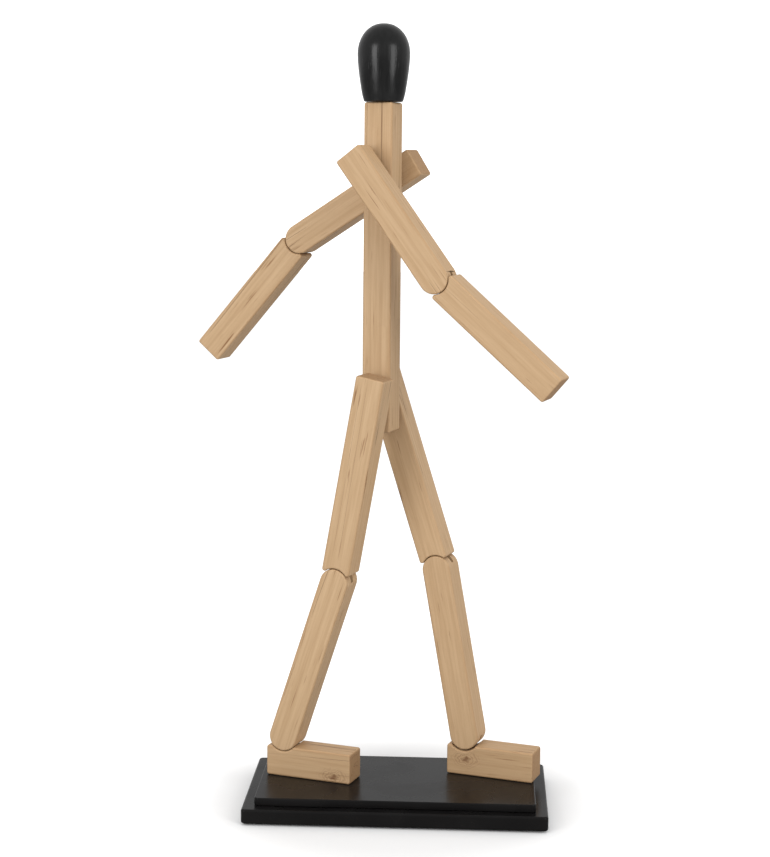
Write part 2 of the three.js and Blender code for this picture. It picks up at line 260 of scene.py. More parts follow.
def sawn_tree():
    tree, given, result = new_tree("sawn piece", "GeometryNodeTree", [
        ("Geometry", "Geometry", None), ("Thickness", "Float", 0.02), ("Rim radius", "Float", 0.001),
        ("Rim steps", "Int", 4), ("Slots", "Object", None), ("Holes", "Object", None),
        ("Material", "Material", None)], [("Geometry", "Geometry")])
    steps, radius = given["Rim steps"], given["Rim radius"]
    last = sum_up(tree, "MULTIPLY_ADD", steps, 2.0, 1.0)
    ring = put(tree, "GeometryNodeInputIndex").outputs[0]
    from_end = sum_up(tree, "MINIMUM", ring, sum_up(tree, "SUBTRACT", last, ring))
    angle = times(tree, sum_up(tree, "DIVIDE", from_end, steps), math.pi / 2)
    inset = times(tree, radius, sum_up(tree, "SUBTRACT", 1.0, sum_up(tree, "SINE", angle)))
    core = sum_up(tree, "SUBTRACT", times(tree, given["Thickness"], 0.5), radius)
    level = sum_up(tree, "MULTIPLY_ADD", radius, sum_up(tree, "COSINE", angle), core)
    side = sum_up(tree, "MULTIPLY_ADD", sum_up(tree, "GREATER_THAN", ring, steps), 2.0, -1.0)
    place = put(tree, "ShaderNodeCombineXYZ", {"Z": times(tree, level, side)}).outputs[0]
    line = put(tree, "GeometryNodeCurvePrimitiveLine", {"Start": (0, 0, -1), "End": (0, 0, 1)}).outputs[0]
    count = sum_up(tree, "ADD", last, 1.0)
    rail = put(tree, "GeometryNodeResampleCurve", {"Curve": line, "Count": count}).outputs[0]
    rail = put(tree, "GeometryNodeStoreNamedAttribute", {"Geometry": rail, "Name": "inset", "Value": inset},
               data_type="FLOAT", domain="POINT").outputs[0]
    rail = put(tree, "GeometryNodeSetPosition", {"Geometry": rail, "Position": place}).outputs[0]
    outline = put(tree, "GeometryNodeMeshToCurve", {"Mesh": given["Geometry"]}).outputs[0]
    body = put(tree, "GeometryNodeCurveToMesh",
               {"Curve": rail, "Profile Curve": outline, "Fill Caps": True}).outputs[0]
    inwards = put(tree, "ShaderNodeVectorMath",
                  {0: named(tree, "inwards", "FLOAT_VECTOR"), "Scale": named(tree, "inset", "FLOAT")},
                  operation="SCALE").outputs[0]
    body = put(tree, "GeometryNodeSetPosition", {"Geometry": body, "Offset": inwards}).outputs[0]
    body = cut_away(tree, body, (given["Slots"], given["Holes"]))
    return finish_tree(tree, body, given["Material"], result)


SAWN = sawn_tree()
print("sawn piece tree:", len(SAWN.nodes), "nodes")

# %% [markdown]
# ## Turned pieces
# The match head, pins, spacers, dowel and screws come off a lathe: a circle whose size changes along
# an axis. The tree sweeps a unit circle along the axis and scales each ring by its own girth.

# %% The tree for turned pieces
def turned_tree():
    tree, given, result = new_tree("turned piece", "GeometryNodeTree", [
        ("Geometry", "Geometry", None), ("Sides", "Int", 48), ("Slots", "Object", None),
        ("Holes", "Object", None), ("Material", "Material", None)], [("Geometry", "Geometry")])
    rail = put(tree, "GeometryNodeMeshToCurve", {"Mesh": given["Geometry"]}).outputs[0]
    circle = put(tree, "GeometryNodeCurvePrimitiveCircle",
                 {"Resolution": given["Sides"], "Radius": 1.0}).outputs[0]
    body = put(tree, "GeometryNodeCurveToMesh",
               {"Curve": rail, "Profile Curve": circle, "Fill Caps": True}).outputs[0]
    girth = named(tree, "girth", "FLOAT")
    widths = put(tree, "ShaderNodeCombineXYZ", {"X": girth, "Y": girth, "Z": 1.0}).outputs[0]
    here = put(tree, "GeometryNodeInputPosition").outputs[0]
    there = put(tree, "ShaderNodeVectorMath", {0: here, 1: widths}, operation="MULTIPLY").outputs[0]
    body = put(tree, "GeometryNodeSetPosition", {"Geometry": body, "Position": there}).outputs[0]
    body = put(tree, "GeometryNodeMergeByDistance", {"Geometry": body, "Distance": 0.01 * MM}).outputs[0]
    body = cut_away(tree, body, (given["Slots"], given["Holes"]))
    return finish_tree(tree, body, given["Material"], result)


TURNED = turned_tree()
print("turned piece tree:", len(TURNED.nodes), "nodes")

# %% [markdown]
# ## From a tree to a plain piece
# A piece is made in its own frame, in which its outline is flat: X across, Y along and Z through.
# The evaluated mesh becomes a plain mesh, its doubles are merged, its faces are turned outwards, and
# then the whole mesh is moved to its place, so that its object can stay at the origin. The piece keeps
# its own coordinates in an attribute, so that the grain follows each stick wherever it points.

# %% Helpers for making a piece
def scratch_object(name, vertices, edges, faces=()):
    mesh = bpy.data.meshes.new(name)
    mesh.from_pydata(vertices, edges, faces)
    return linked(name, mesh)


def evaluated(thing):
    """A plain mesh of an object with its modifiers applied."""
    bpy.context.view_layer.update()
    return bpy.data.meshes.new_from_object(thing.evaluated_get(bpy.context.evaluated_depsgraph_get()))


def evaluate(thing, tree, values):
    """The mesh that a tree makes from an object. Inputs are set by their identifiers."""
    modifier = thing.modifiers.new("rule", "NODES")
    modifier.node_group = tree
    sockets = {item.name: item.identifier for item in tree.interface.items_tree
               if item.item_type == "SOCKET" and item.in_out == "INPUT"}
    for name, value in values.items():
        modifier[sockets[name]] = value
    mesh = evaluated(thing)
    bpy.data.objects.remove(thing)
    return mesh


CUT_ANGLE = math.radians(50)    # an edge sharper than this was left by a cut
DOUBLES = 0.005 * MM


def close_and_ease(mesh, ease):
    """Merges doubles, turns faces outwards, and softens the edges that a cut left sharp."""
    work = bmesh.new()
    work.from_mesh(mesh)
    bmesh.ops.remove_doubles(work, verts=work.verts, dist=DOUBLES)
    bmesh.ops.dissolve_degenerate(work, dist=DOUBLES, edges=work.edges)
    bmesh.ops.recalc_face_normals(work, faces=work.faces)
    if ease:
        sharp = [e for e in work.edges if len(e.link_faces) == 2 and e.calc_face_angle(0) > CUT_ANGLE]
        bmesh.ops.bevel(work, geom=sharp, offset=ease, segments=2, profile=0.5, affect="EDGES",
                        clamp_overlap=True)
    open_edges = sum(1 for e in work.edges if len(e.link_faces) != 2)
    work.to_mesh(mesh)
    work.free()
    return open_edges


def weigh_normals(thing):
    """Flat faces keep flat shading beside the rounded rims: normals are weighed by face size."""
    thing.data.shade_smooth()
    thing.data.set_sharp_from_angle(angle=math.radians(40))
    modifier = thing.modifiers.new("weigh", "WEIGHTED_NORMAL")
    modifier.keep_sharp = True
    mesh = evaluated(thing)
    thing.modifiers.clear()
    old, thing.data = thing.data, mesh
    bpy.data.meshes.remove(old)


def keep_attribute(mesh, name, kind, domain, values):
    key = {"FLOAT_VECTOR": "vector", "FLOAT": "value"}[kind]
    layer = mesh.attributes.get(name) or mesh.attributes.new(name, kind, domain)
    layer.data.foreach_set(key, values)


FAR_AWAY = Vector((1, 1, 1))


def describe(mesh, number, grain, centre, knot, tone):
    """Stores what the materials read: own coordinates, the nearest knot, end grain and tone.
    grain turns the piece's frame so that its second axis runs along the wood."""
    shift = Vector((0.137 * number, 0.411 * number, 0.283 * number))
    places, knots, ends, sections = [], [], [], []
    for vertex in mesh.vertices:
        own = grain @ (vertex.co - centre)
        places.extend(own + shift)
        sections.extend(own)
        knots.extend(own - knot if knot else FAR_AWAY)
    along = grain.transposed() @ Vector((0, 1, 0))
    for face in mesh.polygons:
        ends.append(min(1.0, max(0.0, (abs(face.normal.dot(along)) - 0.5) / 0.4)))
    keep_attribute(mesh, "own_place", "FLOAT_VECTOR", "POINT", places)
    keep_attribute(mesh, "own_section", "FLOAT_VECTOR", "POINT", sections)
    keep_attribute(mesh, "knot_place", "FLOAT_VECTOR", "POINT", knots)
    keep_attribute(mesh, "end_grain", "FLOAT", "FACE", ends)
    keep_attribute(mesh, "tone", "FLOAT", "POINT", [tone] * len(mesh.vertices))


SAME = Matrix.Identity(3)
made_count = 0


def settle(name, node, mesh, frame_at, slot, body, ease=0.0, grain=SAME, centre=Vector(), knot=None,
           tone=0.0, material=None):
    """Turns a mesh in its own frame into the finished piece that stands for a CAD node."""
    global made_count
    made_count += 1
    gaps = close_and_ease(mesh, ease)
    describe(mesh, made_count, grain, centre, knot, tone)
    for stray in ("inset", "inwards", "girth"):
        if stray in mesh.attributes:
            mesh.attributes.remove(mesh.attributes[stray])
    mesh.transform(frame_at)
    piece = linked(name, mesh)
    weigh_normals(piece)
    piece.data.name = name
    piece.data.materials.clear()
    piece.data.materials.append(material)
    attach(piece, body)
    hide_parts(node)
    print(f"{name}: {len(piece.data.polygons)} faces, {gaps} open edges")
    return piece


# %% [markdown]
# ## Outlines
# An outline is a list of points, counter-clockwise. Arcs are cut finely, so that a round knee looks
# round. At each point the inward direction is the mitre of its two edges, so that a ring moved along it
# stays the same distance from the outline all the way round.

# %% Arcs, ends and mitres
def arc(x, y, radius, start, end, step=7.5):
    """Points on an arc from one angle to another, in degrees."""
    count = max(2, round(abs(end - start) / step))
    angles = [math.radians(start + (end - start) * i / count) for i in range(count + 1)]
    return [(x + radius * math.cos(a), y + radius * math.sin(a)) for a in angles]


def inward_at(points):
    result = []
    for i, here in enumerate(points):
        before, after = Vector(points[i - 1]), Vector(points[(i + 1) % len(points)])
        first, second = (Vector(here) - before).normalized(), (after - Vector(here)).normalized()
        n0, n1 = Vector((-first.y, first.x)), Vector((-second.y, second.x))
        mitre = (n0 + n1) / (1 + n0.dot(n1))
        result += [mitre.x, mitre.y, 0]
    return result


CORNER = 1.6 * MM
RIM = 1.25 * MM


def socket_points(radius, stop):
    """The hollow of a socket about the origin, right to left, for an end that stops below it."""
    lip = math.degrees(math.asin(stop / radius))
    return arc(0, 0, radius, -lip, lip - 180, step=6)


def end_points(kind, stop, socket=0.0, half=None):
    """The top end of an upright stick, right to left. stop is its height above the pivot."""
    half = half or HALF
    if kind == "round":
        return arc(0, 0, half, 0, 180)
    right = arc(half - CORNER, stop - CORNER, CORNER, 0, 90, step=22.5)
    left = arc(CORNER - half, stop - CORNER, CORNER, 90, 180, step=22.5)
    hollow = socket_points(socket, -stop) if kind == "socket" else []
    return right + hollow + left


def stick_outline(top, bottom, length):
    """Joins two ends. The top pivot is at the origin and the bottom one is a length below it."""
    return top + [(-x, -length - y) for x, y in bottom]


def grown(thing, tree, values, slots, holes):
    """The mesh that a tree makes, cut by the tool objects, which are then thrown away."""
    tools = {label: tool for label, tool in (("Slots", slots), ("Holes", holes)) if tool}
    mesh = evaluate(thing, tree, {**values, **tools})
    for tool in tools.values():
        bpy.data.objects.remove(tool)
    return mesh


def sawn(name, node, outline, thickness, rim, slots=None, holes=None, steps=4, **rest):
    """Sweeps an outline into a piece and settles it."""
    count = len(outline)
    flat = scratch_object(name + "_outline", [(x, y, 0) for x, y in outline],
                          [(i, (i + 1) % count) for i in range(count)])
    keep_attribute(flat.data, "inwards", "FLOAT_VECTOR", "POINT", inward_at(outline))
    values = {"Thickness": thickness, "Rim radius": rim, "Rim steps": steps}
    return settle(name, node, grown(flat, SAWN, values, slots, holes), **rest)


def turned(name, node, profile, sides=48, slots=None, holes=None, **rest):
    """Spins a profile of (girth, height) pairs into a piece and settles it."""
    count = len(profile)
    rail = scratch_object(name + "_rail", [(0, 0, z) for _, z in profile],
                          [(i, i + 1) for i in range(count - 1)])
    keep_attribute(rail.data, "girth", "FLOAT", "POINT", [girth for girth, _ in profile])
    return settle(name, node, grown(rail, TURNED, {"Sides": sides}, slots, holes), **rest)


# %% [markdown]
# ## Cutting tools
# A mortise is a block, a slot has a round floor and a hole is a rod, all in the frame of the piece that
# they cut. A hole is measured from its pin, with a little air, and stays blind where the pin does.

# %% Blocks, slots and rods
def tool_object(name, parts):
    work = bmesh.new()
    for kind, values in parts:
        if kind == "block":
            (x0, x1), (y0, y1), (z0, z1) = values
            size = Matrix.Diagonal((x1 - x0, y1 - y0, z1 - z0, 1))
            at = Matrix.Translation(((x0 + x1) / 2, (y0 + y1) / 2, (z0 + z1) / 2))
            bmesh.ops.create_cube(work, size=1, matrix=at @ size)
        elif kind == "slot":
            rings = [[work.verts.new((x, y, z)) for x, y in values] for z in (-SLOT_HALF, SLOT_HALF)]
            work.faces.new(rings[0])
            work.faces.new(reversed(rings[1]))
            for i in range(len(values)):
                work.faces.new((rings[0][i - 1], rings[1][i - 1], rings[1][i], rings[0][i]))
        else:
            start, end, radius = values
            turn = (end - start).to_track_quat("Z", "Y").to_matrix().to_4x4()
            bmesh.ops.create_cone(work, cap_ends=True, segments=32, radius1=radius, radius2=radius,
                                  depth=(end - start).length,
                                  matrix=Matrix.Translation((start + end) / 2) @ turn)
    bmesh.ops.recalc_face_normals(work, faces=work.faces)
    mesh = bpy.data.meshes.new(name)
    work.to_mesh(mesh)
    work.free()
    return linked(name, mesh)


def pin_hole(pin, frame_at, air=PIN_AIR):
    """A rod for the hole round a pin, in the frame of the piece that it goes through."""
    centre = middle(pin)
    low, high = reach(pin, joint_axis, level_with(centre, pin))
    radius = reach(pin, UP, centre)[1] + air
    ends = [frame_at.inverted() @ (centre + joint_axis * end) for end in (low, high)]
    out = [end.z + math.copysign(AIR if abs(end.z) < HALF - 2 * AIR else PAST, end.z) for end in ends]
    return ("rod", (Vector((ends[0].x, ends[0].y, out[0])), Vector((ends[1].x, ends[1].y, out[1])),
                    radius))


def frame_for(origin, along):
    """The frame of a stick: Y runs along it, Z is the joint axis and X lies across."""
    across = along.cross(joint_axis)
    return Matrix.Translation(origin) @ Matrix((across, along, joint_axis)).transposed().to_4x4()

# %% [markdown]
# ## Shared effects for the materials
# Three effects are used by more than one finish. "wood figure" gives growth rings, fine fibres and
# flecks from a piece's own coordinates, stretched along the grain. "knots" darkens the wood round one
# chosen place, with its rings bent round it. The third effect finds the four long edges of a stick,
# where the wood is painted darker: painted shade of the rounded edges.

# %% Effect: wood figure
def noise(tree, place, scale, detail=2.0, roughness=0.5):
    inputs = {"Vector": place, "Scale": scale, "Detail": detail, "Roughness": roughness}
    return put(tree, "ShaderNodeTexNoise", inputs).outputs["Fac"]


def scaled(tree, place, scale, shift=(0, 0, 0)):
    return put(tree, "ShaderNodeMapping", {"Vector": place, "Scale": scale, "Location": shift}).outputs[0]


def stretched(tree, place, along):
    """The place squeezed along the grain, so that a pattern on it is drawn out."""
    return scaled(tree, place, (1, along, 1))


def attribute(tree, name, output="Vector"):
    return put(tree, "ShaderNodeAttribute", attribute_name=name).outputs[output]


def wood_figure():
    tree, given, result = new_tree("wood figure", "ShaderNodeTree", [
        ("Place", "Vector", None), ("Ring width", "Float", 0.0034), ("Waviness", "Float", 0.004)],
        [("Rings", "Float"), ("Fibres", "Float"), ("Flecks", "Float"), ("Clouds", "Float"),
         ("Check", "Float")])
    place = given["Place"]
    wave = sum_up(tree, "SUBTRACT", noise(tree, stretched(tree, place, 0.16), 42, 1.5), 0.5)
    flat = scaled(tree, place, (1, 0, 1), (0.031, 0, 0.047))       # the heart of the tree, off to a side
    away = put(tree, "ShaderNodeVectorMath", {0: flat}, operation="LENGTH").outputs["Value"]
    bent = sum_up(tree, "MULTIPLY_ADD", wave, given["Waviness"], away)
    ring = sum_up(tree, "FRACT", sum_up(tree, "DIVIDE", bent, given["Ring width"]))
    late = times(tree, spread(tree, ring, 0.35, 0.93), spread(tree, ring, 1.0, 0.94))
    fibres = noise(tree, stretched(tree, place, 0.03), 620, 4.0, 0.68)
    clouds = noise(tree, stretched(tree, place, 0.25), 55, 2.0)
    fleck = noise(tree, stretched(tree, place, 0.045), 760, 1.5)
    patch = noise(tree, stretched(tree, place, 0.3), 70, 1.0)
    flecks = times(tree, spread(tree, fleck, 0.635, 0.73), spread(tree, patch, 0.42, 0.56))
    line = noise(tree, stretched(tree, place, 0.02), 130, 0.0)
    near = sum_up(tree, "ABSOLUTE", sum_up(tree, "SUBTRACT", line, 0.36))
    run = noise(tree, stretched(tree, place, 0.9), 16, 0.0)
    check = times(tree, spread(tree, near, 0.010, 0.002), spread(tree, run, 0.52, 0.60))
    fill(tree, result, {"Rings": late, "Fibres": fibres, "Flecks": flecks, "Clouds": clouds,
                        "Check": check})
    return tree


def knots():
    tree, given, result = new_tree("knots", "ShaderNodeTree", [
        ("Knot place", "Vector", None), ("Size", "Float", 0.004)], [("Dark", "Float"), ("Rings", "Float")])
    swirl = put(tree, "ShaderNodeTexNoise", {"Vector": given["Knot place"], "Scale": 260, "Detail": 2.0})
    centred = {0: swirl.outputs["Color"], 1: (-0.5,) * 3}
    shifted = put(tree, "ShaderNodeVectorMath", centred).outputs[0]
    bending = {0: shifted, 1: (0.006,) * 3, 2: given["Knot place"]}
    bent = put(tree, "ShaderNodeVectorMath", bending, operation="MULTIPLY_ADD").outputs[0]
    oval = scaled(tree, bent, (1, 0.62, 0.35))
    away = put(tree, "ShaderNodeVectorMath", {0: oval}, operation="LENGTH").outputs["Value"]
    size = given["Size"]
    share = sum_up(tree, "DIVIDE", away, size)
    heart = spread(tree, share, 0.62, 0.2)
    rings = sum_up(tree, "SINE", times(tree, share, 17.0))
    around = times(tree, spread(tree, share, 2.2, 0.5), spread(tree, rings, -0.1, 0.9))
    dark = sum_up(tree, "MAXIMUM", heart, times(tree, around, 0.55))
    fill(tree, result, {"Dark": dark, "Rings": around})
    return tree


def shaded_long_edges():
    tree, given, result = new_tree("shaded long edges", "ShaderNodeTree", [
        ("Section", "Vector", None), ("Half", "Float", HALF), ("Band", "Float", 0.0016)],
        [("Edge shade", "Float")])
    parts = put(tree, "ShaderNodeSeparateXYZ", {0: given["Section"]}).outputs
    inner = sum_up(tree, "MINIMUM", sum_up(tree, "ABSOLUTE", parts["X"]),
                   sum_up(tree, "ABSOLUTE", parts["Z"]))
    start = sum_up(tree, "SUBTRACT", given["Half"], given["Band"])
    # 1 along the four long edges, where the finish paints shade of the rounded edges
    edge = spread(tree, sum_up(tree, "SUBTRACT", inner, start), 0.0, 0.0013)
    tree.links.new(edge, result.inputs["Edge shade"])
    return tree


EFFECTS = {"figure": wood_figure(), "knots": knots(), "edges": shaded_long_edges()}
print("effects:", [tree.name for tree in EFFECTS.values()])


def effect(tree, name, inputs):
    return put(tree, "ShaderNodeGroup", inputs, node_tree=EFFECTS[name]).outputs


# %% [markdown]
# ## Finishes
# Each finish is one Principled shader. What varies over the surface is linked, and what is the same
# everywhere is a plain number on the shader's own socket. The wood is bare and sanded: matt, with a
# faint gloss where the fibres were crushed. The base is sprayed satin black. The match head is a
# thicker black coat over turned wood, glossier, with the fibres still showing as faint upright lines.

# %% Helpers for finishes
def linear(red, green, blue):
    """A colour given as it looks on a screen, from 0 to 255, as the numbers that a shader takes."""
    def one(value):
        value /= 255
        return value / 12.92 if value <= 0.04045 else ((value + 0.055) / 1.055) ** 2.4
    return (one(red), one(green), one(blue), 1.0)


def blend_colour(tree, share, first, second):
    return put(tree, "ShaderNodeMix", {0: share, 6: first, 7: second}, data_type="RGBA").outputs[2]


def finish_named(name):
    material = bpy.data.materials.new(name)
    material.use_nodes = True
    tree = material.node_tree
    return material, tree, tree.nodes["Principled BSDF"]


def bump(tree, height, strength, distance):
    inputs = {"Height": height, "Strength": strength, "Distance": distance}
    return put(tree, "ShaderNodeBump", inputs).outputs[0]


# %% Pale wood and hardwood
def wood_finish(name, pale, dark, ring_share, fleck_share):
    material, tree, shader = finish_named(name)
    figure = effect(tree, "figure", {"Place": attribute(tree, "own_place")})
    knot = effect(tree, "knots", {"Knot place": attribute(tree, "knot_place")})
    # The long edges get a darker colour below: painted shade of the rounded edges.
    edge = effect(tree, "edges", {"Section": attribute(tree, "own_section")})["Edge shade"]
    end = attribute(tree, "end_grain", "Fac")
    tone = attribute(tree, "tone", "Fac")
    fine = spread(tree, figure["Fibres"], 0.3, 0.72)
    cloud = spread(tree, figure["Clouds"], 0.3, 0.7)
    colour = pale
    for mask, share, other in (
            (figure["Rings"], ring_share, dark), (fine, 0.34, dark), (cloud, 0.16, linear(178, 146, 108)),
            (tone, 1.0, dark), (figure["Flecks"], fleck_share, linear(128, 88, 52)),
            (knot["Dark"], 0.75, linear(104, 66, 38)), (end, 0.6, linear(140, 104, 70)),
            (edge, 0.22, linear(158, 116, 76)), (figure["Check"], 0.6, linear(92, 60, 36))):
        colour = blend_colour(tree, times(tree, mask, share), colour, other)
    rough = sum_up(tree, "MULTIPLY_ADD", end, 0.16, sum_up(tree, "MULTIPLY_ADD", fine, 0.14, 0.5))
    height = figure["Fibres"]
    for mask, depth in ((figure["Rings"], -0.35), (figure["Flecks"], -0.7), (figure["Check"], -2.4),
                        (knot["Rings"], -0.4)):
        height = sum_up(tree, "MULTIPLY_ADD", mask, depth, height)
    fill(tree, shader, {"Base Color": colour, "Roughness": rough, "Specular IOR Level": 0.3,
                        "Normal": bump(tree, height, 0.35, 0.00018)})
    return material


LOOKS = {"pale_wood": wood_finish("pale_wood", linear(198, 167, 130), linear(156, 121, 82), 0.16, 0.8),
         "hardwood": wood_finish("hardwood", linear(150, 112, 74), linear(104, 70, 42), 0.5, 0.3)}
print("wood finishes:", list(LOOKS))

# %% Black paint on the boards
def paint_finish():
    material, tree, shader = finish_named("black_paint")
    place = attribute(tree, "own_place")
    cloud = noise(tree, place, 28, 3.0)
    peel = noise(tree, place, 900, 2.0)
    fibres = noise(tree, scaled(tree, place, (0.04, 1, 1)), 700, 2.0)
    dust = spread(tree, noise(tree, place, 1700, 1.0), 0.74, 0.82)
    colour = blend_colour(tree, spread(tree, cloud, 0.35, 0.65), linear(18, 17, 17), linear(23, 22, 22))
    colour = blend_colour(tree, times(tree, dust, 0.1), colour, linear(120, 118, 116))
    rough = sum_up(tree, "MULTIPLY_ADD", dust, 0.2, spread(tree, cloud, 0.3, 0.7, 0.22, 0.32))
    height = sum_up(tree, "MULTIPLY_ADD", fibres, 0.5, peel)
    fill(tree, shader, {"Base Color": colour, "Roughness": rough, "Specular IOR Level": 0.1,
                        "Normal": bump(tree, height, 0.05, 0.00005)})
    return material


# %% The match head's coat
def coat_finish():
    material, tree, shader = finish_named("match_black")
    place = attribute(tree, "own_place")
    upright = scaled(tree, place, (1, 1, 0.06))
    ridges = noise(tree, upright, 520, 3.0, 0.55)
    cloud = noise(tree, place, 90, 2.0)
    pores = spread(tree, noise(tree, upright, 1100, 1.0), 0.66, 0.76)
    colour = blend_colour(tree, spread(tree, ridges, 0.35, 0.7), linear(10, 10, 10), linear(19, 19, 19))
    colour = blend_colour(tree, times(tree, pores, 0.4), colour, linear(12, 12, 12))
    height = sum_up(tree, "MULTIPLY_ADD", pores, -0.5, ridges)
    fill(tree, shader, {"Base Color": colour, "Roughness": spread(tree, cloud, 0.3, 0.7, 0.19, 0.26),
                        "Specular IOR Level": 0.3, "Normal": bump(tree, height, 0.4, 0.00025)})
    return material


# %% Felt and steel
def felt_finish():
    material, tree, shader = finish_named("felt")
    place = attribute(tree, "own_place")
    fluff = noise(tree, place, 1400, 4.0, 0.7)
    cloud = noise(tree, place, 60, 2.0)
    colour = blend_colour(tree, spread(tree, fluff, 0.3, 0.7), linear(20, 20, 21), linear(44, 44, 46))
    colour = blend_colour(tree, times(tree, cloud, 0.3), colour, linear(30, 30, 31))
    fill(tree, shader, {"Base Color": colour, "Roughness": spread(tree, fluff, 0.2, 0.8, 0.85, 1.0),
                        "Sheen Weight": 0.4, "Normal": bump(tree, fluff, 0.8, 0.0004)})
    return material


def steel_finish():
    material, tree, shader = finish_named("steel")
    place = attribute(tree, "own_place")
    brushed = scaled(tree, place, (1, 1, 0.05))
    lines = noise(tree, brushed, 2600, 2.0)
    stain = noise(tree, place, 300, 3.0)
    stained = spread(tree, stain, 0.35, 0.7)
    colour = blend_colour(tree, stained, linear(172, 172, 174), linear(128, 126, 122))
    fill(tree, shader, {"Base Color": colour, "Roughness": spread(tree, lines, 0.2, 0.8, 0.25, 0.42),
                        "Metallic": 1.0, "Normal": bump(tree, lines, 0.2, 0.00005)})
    return material


LOOKS.update(black_paint=paint_finish(), match_black=coat_finish(), felt=felt_finish(),
             steel=steel_finish())
BODY_OF = {node: body for body, nodes in frame["record"]["behaviour"]["bodies"].items() for node in nodes}
print("finishes:", list(LOOKS))


def worn_by(node, slot):
    return {"slot": slot, "body": BODY_OF[node], "material": LOOKS[slot]}


# %% [markdown]
# ## The limbs
# A thigh is square at the top and has a socket at the knee. A shin is round at both ends, with a slot
# in each for the tongue. An upper arm is square at the top and round at the elbow, and a forearm has a
# socket at the elbow and a square free end. The lengths are measured from the frame's pivots.

# %% Thighs, shins and arms
TONGUE_ROOT = 21 * MM
TONGUE_HALF = -reach("right_ankle_tongue", FORWARD, middle("right_ankle_pin"))[0]
MORTISE_HALF = TONGUE_HALF + AIR
SLOT_RADIUS = TONGUE_HALF + 0.7 * MM                   # room round a tongue's end in its slot
SWING = {"knee": 35, "ankle": 35, "elbow": 46}         # degrees a tongue can swing each way
SOCKET = HALF + AIR
EASE = 0.25 * MM
KNOTS = {"right_foot": (-6.5, 19, -10), "left_foot": (1, -17, -10), "right_shin": (-5, -88, -10),
         "torso": (4, 60, -10)}
TONES = {"right_foot": 0.2, "left_foot": 0.26, "right_shin": -0.04, "left_shin": 0.08,
         "right_thigh": 0.04, "left_thigh": 0.0, "torso": 0.12, "right_upper_arm": 0.10,
         "left_upper_arm": 0.04, "right_forearm": 0.10, "left_forearm": 0.04}


def slot_across(y, side, joint):
    """The slot across a round end. Its floor is round under the tongue and opens out to the side faces
    at the angle that the tongue swings to. side is +1 at a top end."""
    angle = math.radians(SWING[joint])
    out, top = HALF + 0.8 * MM, 2 * HALF               # past the side faces and past the end
    run = (out - SLOT_RADIUS * math.cos(angle)) / math.sin(angle)
    mouth = run * math.cos(angle) - SLOT_RADIUS * math.sin(angle)
    points = arc(0, 0, SLOT_RADIUS, 180 + SWING[joint], 360 - SWING[joint])
    points += [(out, mouth), (out, top), (-out, top), (-out, mouth)]
    return ("slot", [(side * px, y + side * py) for px, py in points])


def mortise_block(y, side):
    """The mortise that holds a tongue's root. side is +1 when the wood lies above."""
    ends = sorted((y, y + side * (TONGUE_ROOT + AIR)))
    return ("block", ((-MORTISE_HALF, MORTISE_HALF), ends, (-SLOT_HALF, SLOT_HALF)))


def pivot_on(node, pin):
    return level_with(middle(pin), node)


def knot_of(node):
    """The middle of the one knot that shows on a stick, in the stick's own frame."""
    return Vector(KNOTS[node]) * MM if node in KNOTS else None


def limb(node, top_pin, bottom_pin, kinds, cuts, holes):
    """A stick between two pivots. kinds are its end shapes, and the stops are measured. A cut is
    (function, share of the length down to its pivot, side, joint if it is a slot)."""
    top = pivot_on(node, top_pin)
    bottom = pivot_on(node, bottom_pin) if bottom_pin else None
    along = (top - (bottom or middle(node))).normalized()
    frame_at = frame_for(top, along)
    low, high = reach(node, along, top)
    length = (top - bottom).length if bottom else 0.0
    upper = end_points(kinds[0], high, SOCKET)
    lower = end_points(kinds[1], -(low + length), SOCKET)
    outline = stick_outline(upper, lower, length)
    parts = [make(share * length, *how) for make, share, *how in cuts]
    slots = tool_object(node + "_slots", parts)
    rods = tool_object(node + "_holes", [pin_hole(pin, frame_at) for pin in holes]) if holes else None
    return sawn(node + "_wood", node, outline, 2 * HALF, RIM, slots, rods, ease=EASE,
                knot=knot_of(node), frame_at=frame_at, tone=TONES[node], **worn_by(node, "pale_wood"))


for side in ("right", "left"):
    knee, ankle, elbow = (f"{side}_{joint}_pin" for joint in ("knee", "ankle", "elbow"))
    limb(f"{side}_thigh", "hip_pin", knee, ("square", "socket"), [(mortise_block, -1, 1)], ["hip_pin"])
    limb(f"{side}_shin", knee, ankle, ("round", "round"),
         [(slot_across, 0, 1, "knee"), (slot_across, -1, -1, "ankle")], [knee, ankle])
    limb(f"{side}_upper_arm", "shoulder_pin", elbow, ("square", "round"),
         [(slot_across, -1, -1, "elbow")], ["shoulder_pin", elbow])
    limb(f"{side}_forearm", elbow, None, ("socket", "square"), [(mortise_block, 0, -1)], [])

# %% [markdown]
# ## Torso and feet
# The torso is the same stick without a joint end: two pins cross it and the neck dowel stands in its
# top. A foot lies down, so its grain runs forward, and its socket is in its upper side near the heel.

# %% Torso
def rod_round(node, axis, frame_at, air):
    """A rod for the hole round the neck dowel, a little longer at the far end of the axis."""
    centre = middle(node)
    low, high = reach(node, axis, centre)
    radius = reach(node, FORWARD, centre)[1] + air
    start, end = centre + axis * low, centre + axis * (high + 2 * AIR)
    return ("rod", (frame_at.inverted() @ start, frame_at.inverted() @ end, radius))


def make_torso():
    start = pivot_on("torso", "hip_pin")
    frame_at = frame_for(start, UP)
    low, high = reach("torso", UP, start)
    outline = stick_outline(end_points("square", high), end_points("square", -low), 0.0)
    rods = [pin_hole(pin, frame_at) for pin in ("hip_pin", "shoulder_pin")]
    rods.append(rod_round("neck_dowel", -UP, frame_at, PIN_AIR))
    sawn("torso_wood", "torso", outline, 2 * HALF, RIM, holes=tool_object("torso_holes", rods), ease=EASE,
         frame_at=frame_at, knot=knot_of("torso"), tone=TONES["torso"], **worn_by("torso", "pale_wood"))


make_torso()

